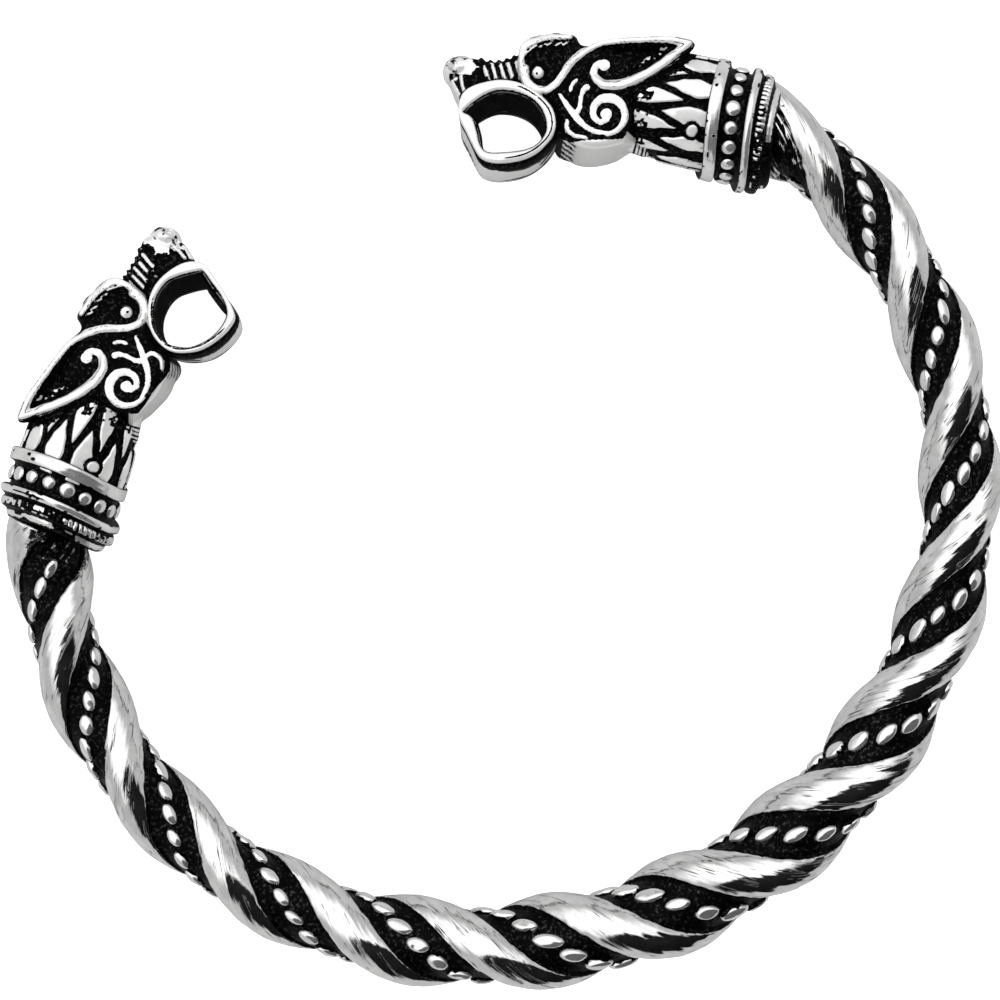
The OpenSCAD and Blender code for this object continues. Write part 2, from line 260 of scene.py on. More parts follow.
def rope():
    q = section_angles()
    a = BACK_ANGLE + (END_SPAN + ROPE_INTO_COLLAR) * (1 - 2 * np.arange(ROPE_RINGS) / (ROPE_RINGS - 1))
    arc = np.concatenate([[0], np.cumsum(np.linalg.norm(np.diff(axis(a), axis=0), axis=1))])
    aa, qq = np.meshgrid(a, q, indexing="ij")
    ss = np.broadcast_to(arc[:, None], aa.shape)
    from_strand = (qq + 90) % 180 - 90
    which = np.round((qq - from_strand) / 180).astype(int) % 2
    flow = np.stack([ss, np.radians(qq) * FLOW_R, which * STRANDS_APART + 0 * ss], -1)
    # ragged edges: the wall wanders a little
    side = np.sign(from_strand)
    edge = 1.3 * noise_at(ss * 1.6, side * 9 + which * 31, 0, 3)
    edge += noise_at(ss * 5.0, side * 5 + which * 17, 0, 4)
    x = np.abs(from_strand)
    ragged = x + edge * np.exp(-((x - STRAND_EDGE - 1) / 6.0) ** 2)
    on_strand = 1 - ease((ragged - STRAND_EDGE + 1.0) / 3.2)
    # long shallow grooves on the strands, a pitted floor in the channels
    groove = noise(flow * [0.16, 1.5, 1], 11) * 0.6 + noise(flow * [0.45, 3.6, 1], 12) * 0.4
    pits = noise(flow * [2.6, 2.6, 1], 21) * 0.6 + noise(flow * [6, 6, 1], 22) * 0.4
    r = strand_section(ragged) + on_strand * groove * GROOVE_DEPTH + (1 - on_strand) * pits * PIT_DEPTH
    big = twist_r(aa) * (1 + FLARE * ease((abs(aa - BACK_ANGLE) - END_SPAN + FLARE_SPAN) / FLARE_SPAN))
    points = axis(aa) + (big * r)[..., None] * section_dir(aa, strand_angle(aa) + qq)
    soot_and_shade = rope_soot(aa, x, on_strand, flow)
    cols = len(q)
    return new_mesh(
        "rope", [points.reshape(-1, 3), axis(a[:1]), axis(a[-1:])], [grid_quads(ROPE_RINGS, cols)],
        [end_caps(ROPE_RINGS, cols, ROPE_RINGS * cols)], {"soot_and_shade": [soot_and_shade.ravel(), [1, 1]]},
        [flow.reshape(-1, 3), np.zeros((2, 3))],
    )


# the beads in the channels
BEAD_ROWS, BEAD_COLS = 9, 20
BEAD_LENGTH, BEAD_WIDTH, BEAD_TALL = (0.88, 0.07), (0.48, 0.04), (0.40, 0.03)
BEAD_SEAT, BEAD_SINK = 0.705, 0.05


def add_dome(lists, points, black, start):
    """Adds a dome to lists of points, quads, tris and soot. The last row of its points is one point."""
    rows, cols = black.shape
    count = (rows - 1) * cols + 1
    c = np.arange(cols)
    ring = start + (rows - 2) * cols
    top = np.stack([ring + c, ring + (c + 1) % cols, np.full(cols, ring + cols)], -1)
    dome = (points.reshape(-1, 3)[:count], grid_quads(rows - 1, cols, start), top, black.ravel()[:count])
    for items, item in zip(lists, dome):
        items.append(item)
    return start + count


def dome_steps(rows, cols):
    """Angles up a dome and round it, in radians, over a grid of rows and columns."""
    return np.meshgrid(np.linspace(0, 1, rows) * np.pi / 2, np.arange(cols) * 2 * np.pi / cols, indexing="ij")


def bead_places():
    found, a = [], BACK_ANGLE - END_SPAN + BEAD_MARGIN
    while a < BACK_ANGLE + END_SPAN - BEAD_MARGIN:
        found.append(a)
        a += BEAD_STEP * float(twist_r(np.float64(a))) / TWIST_R_END
    return np.array(found)


def bead(a, channel, rng, seed):
    """Points and soot of one bead: a dome with steep sides and a softly flattened top."""
    big = float(twist_r(np.float64(a)))
    k = big / TWIST_R_END
    sizes = (BEAD_LENGTH, BEAD_WIDTH, BEAD_TALL)
    half_l, half_w, tall = ((mean + spread * rng.normal()) * k for mean, spread in sizes)
    skew = rng.normal(0.0, 0.10)
    q = strand_angle(a) + channel + rng.normal(0, 1.2)
    out = section_dir(np.float64(a), q)
    h = heading(np.float64(a))
    along = np.array([-sind(h), cosd(h), 0.0])
    across = np.cross(out, along)
    up, turn = dome_steps(BEAD_ROWS, BEAD_COLS)
    rad = np.cos(up) ** 0.62
    lift = np.sin(up) ** 0.8
    px = np.sign(np.cos(turn)) * abs(np.cos(turn)) ** 0.95 * half_l * rad
    py = np.sign(np.sin(turn)) * abs(np.sin(turn)) ** 1.18 * half_w * rad
    px = px + skew * py
    py = py - 0.16 * px
    bump = noise_at(px * 2.2 + 7 * a, py * 2.2, 0, seed) * 0.045
    pz = (tall + bump * k) * lift - BEAD_SINK
    base = axis(np.float64(a)) + out * big * BEAD_SEAT
    points = base + px[..., None] * along + py[..., None] * across + pz[..., None] * out
    rim = 0.42 * noise_at(px * 4.0 + 9 * a, py * 4.0, 0, seed + 20)
    return points, 1 - ease((lift + rim) / 0.66)


def beads(name, channel, seed):
    rng = np.random.default_rng(seed)
    points, quads, tris, soot_and_shade = [], [], [], []
    start = 0
    for a in bead_places():
        start = add_dome((points, quads, tris, soot_and_shade), *bead(a, channel, rng, seed), start)
    return new_mesh(name, points, quads, tris, {"soot_and_shade": soot_and_shade})


# the end frames
def end_frame(side, lean, shift, outward=0.0):
    """Maps points along, out from and above the axis of a head or collar into the part's frame."""
    turn = 90 - HEAD_TURN + lean

    def place(p):
        p = np.asarray(p, float) + [shift, outward, 0]
        x = -RIDGE_X + p[..., 0] * cosd(turn) - p[..., 1] * sind(turn)
        y = RIDGE_Y + OVAL_Y + p[..., 0] * sind(turn) + p[..., 1] * cosd(turn)
        return np.stack([-side * x, y, AXIS_Z + p[..., 2]], -1)

    return place


# the collars
MILL_TEETH, MILL_AT, MILL_HALF, MILL_DEPTH = 64, -3.55, 0.42, 0.20
MILL_FROM, LAST_RING_FROM = -3.05, -3.9
COLLAR_BULGE = 0.30
COLLAR_BEADS, COLLAR_BEAD_U, COLLAR_BEAD_R = 18, -1.40, 4.10
COLLAR_BEAD_ROWS, COLLAR_BEAD_COLS = 8, 20
# Place along the axis, radius and soot of the collar's profile, from the neck to the hoop
COLLAR_PROFILE = np.array([
    [0.50, 3.4, 1.0], [0.50, 4.30, 1.0], [0.48, 4.50, 0.8], [0.41, 4.59, 0.1], [0.15, 4.61, 0.0],
    [-0.15, 4.61, 0.0], [-0.40, 4.59, 0.1], [-0.48, 4.52, 0.8], [-0.52, 4.30, 1.0], [-0.62, 4.14, 1.0],
    [-0.90, 4.12, 1.0], [-1.40, 4.11, 1.0], [-1.90, 4.12, 1.0], [-2.20, 4.14, 1.0], [-2.30, 4.34, 1.0],
    [-2.34, 4.58, 0.9], [-2.42, 4.70, 0.3], [-2.54, 4.75, 0.0], [-2.70, 4.74, 0.0], [-2.84, 4.70, 0.1],
    [-2.94, 4.60, 0.5], [-3.02, 4.46, 1.0], [-3.10, 4.32, 1.0], [-3.18, 4.30, 1.0], [-3.24, 4.38, 0.7],
    [-3.32, 4.47, 0.1], [-3.50, 4.50, 0.0], [-3.70, 4.49, 0.0], [-3.84, 4.44, 0.2], [-3.93, 4.32, 0.8],
    [-3.99, 4.14, 1.0], [-4.05, 4.00, 1.0], [-4.12, 3.93, 0.6], [-4.24, 3.94, 0.2], [-4.45, 3.88, 0.3],
    [-4.62, 3.74, 0.6], [-4.72, 3.50, 1.0], [-4.74, 3.00, 1.0],
])


def signed(angle):
    """An angle from the middle of the near face, from -180 to 180 degrees."""
    return (angle + 180) % 360 - 180


def milling(u, t, ring, seed, teeth_to):
    """How deep the milled ring is cut, 0 to 1. Its teeth are worn here and there, and gone past teeth_to."""
    tooth = 0.5 - 0.5 * np.cos(np.radians(t * MILL_TEETH))
    milled = np.clip(1 - np.abs(u - MILL_AT) / MILL_HALF, 0, 1) ** 0.5
    worn = ease(0.62 + 0.75 * noise_at(cosd(t) * 1.5, sind(t) * 1.5, 0, seed + 2))
    worn = worn * (1 - ease((signed(t) - teeth_to) / 20))
    return milled * worn * ease((0.45 + 0.42 * noise(ring * 2.5, seed + 11) - tooth) / 0.34)


def collar_soot_and_dark_reflection(u, t, ring, seed, dark_reflection_at, dark_reflection_half):
    """Specks, scratches and dark worn patches of a collar, with a painted dark reflection that makes it
    darkest near one angle round it.
    """
    speck = noise(ring * 3.2, seed + 3) * 0.6 + noise(ring * 7.5, seed + 4) * 0.5
    smear = noise(ring * [3.4, 0.8, 0.8], seed + 9) * 0.8 + noise(ring * [6.0, 2.2, 2.2], seed + 10) * 0.4
    speck = np.where(u < LAST_RING_FROM, smear, speck)
    patch = noise(ring * 0.55, seed + 5)
    tired = ease((MILL_FROM - u) / 0.1)
    tired = np.maximum(tired, 0.45 * ease((-2.2 - u) / 0.1) * ease((patch + 0.05) / 0.3))
    # painted dark reflection: more black on one side of the collar, round a given angle
    dark_reflection = np.exp(-(((signed(t) - dark_reflection_at) / dark_reflection_half) ** 2)) * (u < MILL_FROM)
    scratch = np.abs(noise_at(u * 5.0, cosd(t) * 1.6, sind(t) * 1.6, seed + 6))
    scratched = 0.85 * (1 - ease((scratch - 0.02) / 0.06)) * ease((patch + 0.35) / 0.3)
    blackened = tired * ease((speck + 0.4 * patch - 0.14 + 0.6 * dark_reflection) / 0.3) * 0.9
    pitted = 0.8 * ease((speck - 0.42 + 0.25 * patch) / 0.2)
    return np.maximum(np.maximum(scratched, blackened), pitted)


def collar_bead(k, seed, place):
    """Points and soot of one round bead between the collar's ridges."""
    around = (k + 0.25) * 360.0 / COLLAR_BEADS
    size = 0.57 + 0.05 * lattice(k, seed, 3, 1)
    up, turn = dome_steps(COLLAR_BEAD_ROWS, COLLAR_BEAD_COLS)
    rad = np.cos(up) ** 0.8 * size
    lift = np.sin(up) ** 0.75 * 0.36
    u = COLLAR_BEAD_U + COLLAR_BULGE * cosd(2 * around) + np.cos(turn) * rad
    side = np.sin(turn) * rad
    high = COLLAR_BEAD_R + lift - side**2 / 9.0
    v = COLLAR_SLOPE * COLLAR_BEAD_U + high * sind(around) + side * cosd(around)
    w = high * cosd(around) - side * sind(around)
    return place(np.stack([u, v, w], -1)), 1 - ease((up * 2 / np.pi - 0.05) / 0.34)


def collar(name, place, seed, teeth_to, dark_reflection_at, dark_reflection_half):
    cols = MILL_TEETH * 6
    t = np.arange(cols) * 360.0 / cols  # from the near face, towards +v
    uu, tt = np.meshgrid(COLLAR_PROFILE[:, 0], t, indexing="ij")
    ring = np.stack([uu * 1.3, cosd(tt) * 2.2, sind(tt) * 2.2], -1)
    cut = milling(uu, tt, ring, seed, teeth_to)
    rr = COLLAR_PROFILE[:, 1:2] + noise(ring * 1.4, seed) * 0.05 + noise(ring * 4.0, seed + 1) * 0.015
    rr = rr - cut * MILL_DEPTH
    p = place(np.stack([
        uu + COLLAR_BULGE * cosd(2 * tt), COLLAR_SLOPE * np.minimum(uu, 0) + rr * sind(tt), rr * cosd(tt),
    ], -1))
    black = np.maximum(COLLAR_PROFILE[:, 2:3], cut)
    black = np.maximum(black, collar_soot_and_dark_reflection(uu, tt, ring, seed, dark_reflection_at, dark_reflection_half))
    brushed = 0.7 * noise(ring * 0.9, seed + 7) + 0.6 * noise(ring * [5.0, 0.9, 0.9], seed + 8)
    points, quads, tris = [p.reshape(-1, 3)], [grid_quads(len(COLLAR_PROFILE), cols)], []
    soot_and_shade, grey = [black.ravel()], [np.clip(0.15 + brushed, 0, 0.8).ravel()]
    start = rr.size
    for k in range(COLLAR_BEADS):
        start = add_dome((points, quads, tris, soot_and_shade), *collar_bead(k, seed, place), start)
    grey.append(np.zeros(start - rr.size))
    piece = new_mesh(name, points, quads, tris, {"soot_and_shade": soot_and_shade, "grey": grey})
    face_outward(piece)
    return piece


def face_outward(piece):
    """Turns every face of a closed piece outward."""
    work = bmesh.new()
    work.from_mesh(piece.data)
    bmesh.ops.recalc_face_normals(work, faces=work.faces)
    work.to_mesh(piece.data)
    work.free()


# the beast heads: drawing fields
CELL = 0.088


def smooth_line(points, closed=False, steps=10):
    """A smooth curve through the given points (Catmull-Rom)."""
    p = np.asarray(points, float)
    if closed:
        p = np.concatenate([p[-1:], p, p[:2]])
    else:
        p = np.concatenate([2 * p[:1] - p[1:2], p, 2 * p[-1:] - p[-2:-1]])
    t = np.linspace(0, 1, steps, endpoint=False)[:, None]
    out = []
    for a, b, c, d in zip(p[:-3], p[1:-2], p[2:-1], p[3:]):
        square = (2 * a - 5 * b + 4 * c - d) * t**2
        cube = (3 * b - a - 3 * c + d) * t**3
        out.append(0.5 * (2 * b + (c - a) * t + square + cube))
    out = np.concatenate(out)
    return out if closed else np.concatenate([out, p[-2:-1]])


def line_distance(x, y, line, closed=False):
    """Distance from each x, y to a line, and how far along the line (0 to 1) the nearest point is."""
    best = np.full(x.shape, 1e9)
    where = np.zeros(x.shape)
    pts = np.concatenate([line, line[:1]]) if closed else line
    total = len(pts) - 1
    for k in range(total):
        (x0, y0), (x1, y1) = pts[k][:2], pts[k + 1][:2]
        dx, dy = x1 - x0, y1 - y0
        t = np.clip(((x - x0) * dx + (y - y0) * dy) / max(dx * dx + dy * dy, 1e-12), 0, 1)
        d = np.hypot(x - x0 - t * dx, y - y0 - t * dy)
        near = d < best
        best = np.where(near, d, best)
        where = np.where(near, (k + t) / total, where)
    return best, where


def area(x, y, outline):
    """Signed distance to a closed outline, negative inside."""
    d, _ = line_distance(x, y, outline, True)
    inside = np.zeros(x.shape, bool)
    for (x0, y0), (x1, y1) in zip(np.roll(outline, 1, 0), outline):
        if y0 != y1:
            inside ^= ((y0 > y) != (y1 > y)) & (x < (x1 - x0) * (y - y0) / (y1 - y0) + x0)
    return np.where(inside, -d, d)


def smin(a, b, k):
    h = np.clip(0.5 + 0.5 * (b - a) / k, 0, 1)
    return b + (a - b) * h - k * h * (1 - h)


def smax(a, b, k):
    return -smin(-a, -b, k)


# Lines of a face, along the head and out from its axis; the third value is the line's half width
S_LINE = [
    (14.6, 0.1, 0.28), (14.5, -0.5, 0.34), (14.1, -1.0, 0.34), (13.5, -1.24, 0.30), (12.8, -1.18, 0.26),
    (12.15, -0.65, 0.24), (11.75, 0.15, 0.25), (11.4, 0.95, 0.27), (10.8, 1.8, 0.28), (10.1, 2.45, 0.26),
    (9.1, 3.0, 0.24), (7.6, 3.42, 0.24), (5.7, 3.9, 0.27), (4.3, 4.15, 0.32), (3.1, 4.2, 0.40),
]
RETURN_LINE = [
    (2.9, 4.1, 0.42), (3.65, 3.3, 0.40), (4.7, 2.2, 0.36), (5.95, 1.08, 0.35), (7.25, 0.25, 0.35),
    (8.35, -0.05, 0.34), (9.1, 0.12, 0.30), (9.52, 0.6, 0.25), (9.5, 1.1, 0.23), (9.15, 1.4, 0.28),
]
BROW_LINE = [
    (14.75, -0.2, 0.22), (14.97, 0.5, 0.24), (15.05, 1.2, 0.29), (14.9, 1.8, 0.34), (14.3, 2.33, 0.37),
    (13.3, 2.78, 0.30), (12.4, 3.0, 0.26), (11.7, 3.1, 0.18),
]
STEM_LINE = [
    (11.75, -1.35, 0.09), (11.1, -2.0, 0.18), (10.3, -2.75, 0.23), (9.45, -3.35, 0.20), (8.65, -3.6, 0.18),
    (7.65, -3.6, 0.17), (6.95, -3.1, 0.19), (6.65, -2.2, 0.25), (7.0, -1.4, 0.30), (7.8, -0.98, 0.33),
    (8.6, -1.15, 0.31), (9.05, -1.8, 0.27), (8.95, -2.5, 0.23), (8.4, -2.85, 0.20), (7.95, -2.6, 0.18),
]
BRANCH_LINE = [
    (10.25, -2.6, 0.18), (10.1, -2.0, 0.16), (10.15, -1.35, 0.14), (10.05, -0.75, 0.17), (9.85, -0.5, 0.22),
]
COMMA_LINE = [(10.7, -0.1, 0.11), (10.95, -0.5, 0.12), (11.0, -1.0, 0.09)]
LIP_LINE = [(20.2, -0.9, 0.20), (19.75, -1.7, 0.20), (19.05, -2.6, 0.22)]
GUM_LINE = [(19.3, -0.9, 0.14), (19.1, -1.5, 0.12), (18.75, -2.2, 0.14)]
FACE_LINES = (S_LINE, RETURN_LINE, BROW_LINE, STEM_LINE, BRANCH_LINE, COMMA_LINE, LIP_LINE, GUM_LINE)
BROW_HAIRS = 6
EYE_R = 0.42
PUPIL_AT, PUPIL_R = (0.06, -0.13), 0.11
CURL_BALL, CURL_BALL_R = (8.85, 1.34), 0.42
SCROLL_BALL, SCROLL_BALL_R = (8.08, -2.2), 0.42
NECK_BALL, NECK_BALL_R = (1.58, -2.15), 0.39
CHEEK_OUTLINE = [
    (5.7, 3.3), (6.1, 0.0), (6.3, -2.6), (6.35, -3.4), (6.8, -3.85), (8.9, -4.3), (10.3, -4.65),
    (11.2, -4.35), (11.9, -3.3), (12.6, -2.2), (13.6, -1.6), (14.7, -0.9), (15.1, 0.0), (15.27, 1.2),
    (15.12, 1.95), (14.55, 2.6), (13.4, 3.04), (12.4, 3.24), (11.55, 3.24), (11.1, 2.85), (10.5, 2.7),
    (9.2, 3.15), (7.0, 3.5),
]
JAW_OUTLINE = [
    (4.0, 2.0), (4.0, -3.3), (5.4, -3.55), (6.3, -3.95), (7.2, -4.4), (8.3, -4.78), (9.4, -4.85),
    (10.3, -4.55), (10.9, -4.0), (11.6, -3.2), (12.5, -2.2), (12.5, 2.0),
]
EAR_OUTLINE = [
    (2.6, 4.38), (3.6, 4.5), (4.7, 4.38), (6.4, 3.98), (7.8, 3.66), (9.4, 3.18), (10.5, 2.3), (11.3, 1.2),
    (10.6, 0.4), (9.7, -0.15), (8.5, -0.4), (7.2, -0.12), (5.8, 0.75), (4.5, 1.95), (3.4, 3.2),
]
SNOUT_OUTLINE = [
    (14.2, 1.75), (14.2, -1.4), (17.8, -2.3), (18.75, -2.95), (19.4, -2.3), (19.95, -1.5), (20.2, -0.8),
    (19.2, 0.5), (18.3, 0.62), (17.3, 0.52), (16.4, 0.70), (15.4, 1.2),
]
BARS, BAR_FIRST, BAR_STEP, BAR_TILT, BAR_SLOPE, BAR_HALF = 5, 15.05, 0.65, 0.5, -0.25, 0.58
NOSE_HALF = 2.35
LOOP_HALF = 4.35
# Outer radius of the loop's wall by distance from its middle plane: belly, recess and rim
LOOP_WALL = np.array([
    [0, 0.34], [2.1, 0.30], [2.6, 0.10], [2.85, -0.12], [3.45, -0.14], [3.62, 0.02], [4.4, 0.02],
])
LOOP_LINE = 0.26
RAYS_AT = (11.3, -4.4)
RAY_RISE, RAY_TURN = 3.6, 6.0
TICK_STEP, TICKS_TO = 0.30, 5.5
LEAVES, LEAF_TURN = 12, -3.0
MANE_STEP, MANE_SWEEP, MANE_HALF = 1.5, 0.8, 2.7
# Each head was finished by hand: its own loop, hole, nose and bend of the snout
HEADS = {
    "left": {
        "side": -1,
        "loop": [
            (18.62, -4.0), (18.5, -3.1), (17.87, -2.26), (16.6, -1.47), (15.3, -1.17), (14.1, -1.38),
            (12.9, -1.97), (12.15, -2.85), (11.78, -3.94), (12.0, -5.06), (12.82, -6.25), (14.05, -7.11),
            (15.2, -7.55),
            (16.1, -7.5), (17.19, -6.31), (17.92, -5.19),
        ],
        "hole": [
            (18.12, -4.02), (17.54, -3.15), (16.5, -2.04), (15.2, -1.68), (13.94, -1.88), (12.89, -2.54),
            (12.22, -3.63), (12.32, -4.66), (12.75, -5.57), (13.95, -6.55), (15.33, -6.95), (16.2, -6.75),
            (16.98, -5.95), (17.52, -5.05), (17.95, -4.35),
        ],
        "chin": [
            (10.2, -2.75, 0.11), (10.75, -2.7, 0.13), (11.1, -3.05, 0.15), (10.95, -3.7, 0.14),
            (10.3, -4.1, 0.11),
        ],
        "eye": (13.12, 0.02),
        "nose": [(19.6, 0.22), (19.72, -0.25)],
        "nose_r": 1.0,
        "patch_fall": 0.7,
        "bend": 0.65,
        "jaw_in": 0.35,
        "shear": (0.08, -0.075),
        "lean": -1.2,
        "shift": 0.22,
        "collar": (0.60, 0.12),
        "teeth_to": -6.0,
        # angle and half width of the painted dark reflection on the collar
        "dark_reflection": (-15.0, 12.0),
    },
    "right": {
        "side": 1,
        "loop": [
            (18.95, -3.53), (18.8, -2.6), (18.2, -1.95), (17.04, -1.37), (16.0, -1.08), (14.7, -1.11),
            (13.36, -1.57), (12.25, -2.33), (11.7, -3.31), (11.67, -4.38), (12.23, -5.44), (13.15, -6.31),
            (14.34, -6.88), (15.68, -7.17), (16.68, -6.98), (17.4, -6.2), (18.05, -5.31), (18.69, -4.46),
        ],
        "hole": [
            (18.5, -3.92), (17.81, -3.05), (16.89, -2.26), (16.0, -1.88), (14.8, -1.83), (13.69, -2.13),
            (12.87, -2.75), (12.4, -3.6), (12.32, -4.37), (12.75, -5.28), (13.65, -5.88), (15.07, -6.32),
            (16.25, -6.5), (16.85, -6.05), (17.25, -5.15), (17.68, -4.32), (18.05, -4.02),
        ],
        "chin": [(10.85, -3.2, 0.12), (10.75, -3.75, 0.15), (10.2, -4.15, 0.15), (9.2, -4.2, 0.10)],
        "eye": (13.62, -0.02),
        "nose": [(19.35, -0.05), (19.75, -0.2)],
        "nose_r": 1.12,
        "patch_fall": 1.4,
        "bend": 0.0,
        "jaw_in": 0.0,
        "shear": (0.0, 0.0),
        "lean": 1.2,
        "shift": -0.22,
        "collar": (-0.22, -0.28),
        "teeth_to": 180.0,
        # angle and half width of the painted dark reflection on the collar
        "dark_reflection": (-44.0, 44.0),
    },
}


def stroke(x, y, line):
    """Distance to a line of the face, in units of the line's half width there."""
    fine = smooth_line(line, steps=6)
    d, along = line_distance(x, y, fine[:, :2])
    width = np.interp(along, np.linspace(0, 1, len(fine)), fine[:, 2])
    return d / width


def dot(x, y, at, r):
    return np.hypot(x - at[0], y - at[1]) / r


def bars_field(u, v):
    """1 on the snout's ridges, 0 between them."""
    k = (u - BAR_TILT * v - BAR_FIRST) / BAR_STEP
    inside = (k > -0.45) & (k < BARS - 0.55)
    return np.where(inside, 0.5 + 0.5 * np.cos(2 * np.pi * k), 0.0)


def mane_field(u, w):
    """1 on the tufts of hair swept back along the outer side of a head, 0 between them."""
    tuft = 0.5 + 0.5 * np.cos(2 * np.pi * (u + MANE_SWEEP * np.abs(w)) / MANE_STEP)
    return tuft * (1 - ease((np.abs(w) - MANE_HALF) / 0.35))


def neck_axis(u):
    """How far out the middle of the neck lies."""
    return 0.15 * np.clip(u / 6.4, 0, 1)


def round_neck(u, v, w):
    """Angle round the neck, in degrees."""
    return np.degrees(np.arctan2(v - neck_axis(u), w))


def leaf_field(u, phi):
    """Height of the leaf scales on the neck, from 0 in the grooves to 1, by the angle round the neck."""
    k = (phi - LEAF_TURN) / 360.0 * LEAVES
    arc = 2 * np.pi * 4.1 / LEAVES
    best = np.zeros(np.broadcast(u, phi).shape)
    uneven = 0.06 * noise_at(u * 1.8, phi / 9.0, 0, 78)
    for base, tip, turn in ((0.9, 4.35, 0.5), (6.7, 2.25, 0.0)):
        off = np.abs(k - turn - np.round(k - turn))
        t = (u - base) / (tip - base)
        half = 0.455 * (1 - np.clip(t, 0, 1) ** 1.7) * (1 - 0.3 * np.clip(1 - t / 0.35, 0, 1) ** 2)
        margin = (half - off) * arc - 0.07 + uneven - 0.15 * ease((-phi - 20) / 25)
        best = np.maximum(best, np.where((t > -0.3) & (t < 1), np.clip(margin / 0.12, 0, 1), 0))
    return best


def strap_half(u):
    """Half width of the jaw where it runs out into a narrow strap on the neck."""
    return np.interp(u, [4.3, 4.6, 5.4, 6.0, 6.4, 7.0], [0.0, 0.9, 1.3, 2.9, 3.9, 4.1])


def neck_relief(u, v, w, ball):
    """Height of the neck's leaves, of the jaw's strap and of the ball between the leaves."""
    high = leaf_field(u, round_neck(u, v, w))
    inside = strap_half(u) - w
    beside = ease((-inside - 0.25) / 0.15)
    high = np.where((v < 0) & (u > 4.3), np.where(inside < 0, high * beside, ease(inside / 0.15)), high)
    return np.where((ball < 1.7) & (w > 1), 1.3 * ease((1.25 - ball) / 0.4), high)


def fields(spec):
    """A head's face as fields on a grid of cells: outlines, and how far each cell is from a raised line."""
    us = np.arange(-0.4, 21.2, CELL)
    vs = np.arange(-8.1, 5.3, CELL)
    u, v = np.meshgrid(us, vs, indexing="ij")
    f = {"us": us, "vs": vs, "u": u, "v": v}
    wander = noise_at(u * 2.2, v * 2.2, 0, 41) * 0.09 + noise_at(u * 6, v * 6, 0, 42) * 0.07
    raised = np.full(u.shape, 9.0)
    for line in (*FACE_LINES, spec["chin"]):
        raised = np.minimum(raised, stroke(u, v, line))
    brow = smooth_line(BROW_LINE, steps=6)
    for k in range(BROW_HAIRS):
        at = brow[int((0.46 + 0.46 * k / (BROW_HAIRS - 1)) * (len(brow) - 1))]
        root = (at[0] - 0.02, at[1] - 0.78 + 0.10 * (k % 2))
        raised = np.minimum(raised, stroke(u, v, [(*root, 0.11), (root[0] - 0.38, root[1] + 0.36, 0.06)]))
    for at, r in ((CURL_BALL, CURL_BALL_R), (SCROLL_BALL, SCROLL_BALL_R), (spec["eye"], EYE_R)):
        raised = np.minimum(raised, dot(u, v, at, r))
    f["pupil"] = dot(u, v, np.add(spec["eye"], PUPIL_AT), PUPIL_R)
    f["line"] = raised + wander
    f["return"] = stroke(u, v, RETURN_LINE)
    f["ball"] = dot(u, v, NECK_BALL, NECK_BALL_R) + wander
    outlines = {"cheek": CHEEK_OUTLINE, "jaw": JAW_OUTLINE, "ear": EAR_OUTLINE, "loop": spec["loop"]}
    for key, outline in outlines.items():
        f[key] = area(u, v, smooth_line(outline, True, 5))
    f["hole"] = area(u, v, smooth_line(spec["hole"], steps=5))
    bent = v - spec["bend"] * ease((u - 14.5) / 2.5) * ease((v + 2.2) / 2.0)
    f["snout"] = area(u, bent, smooth_line(SNOUT_OUTLINE, True, 5))
    f["bent"] = bent
    return f


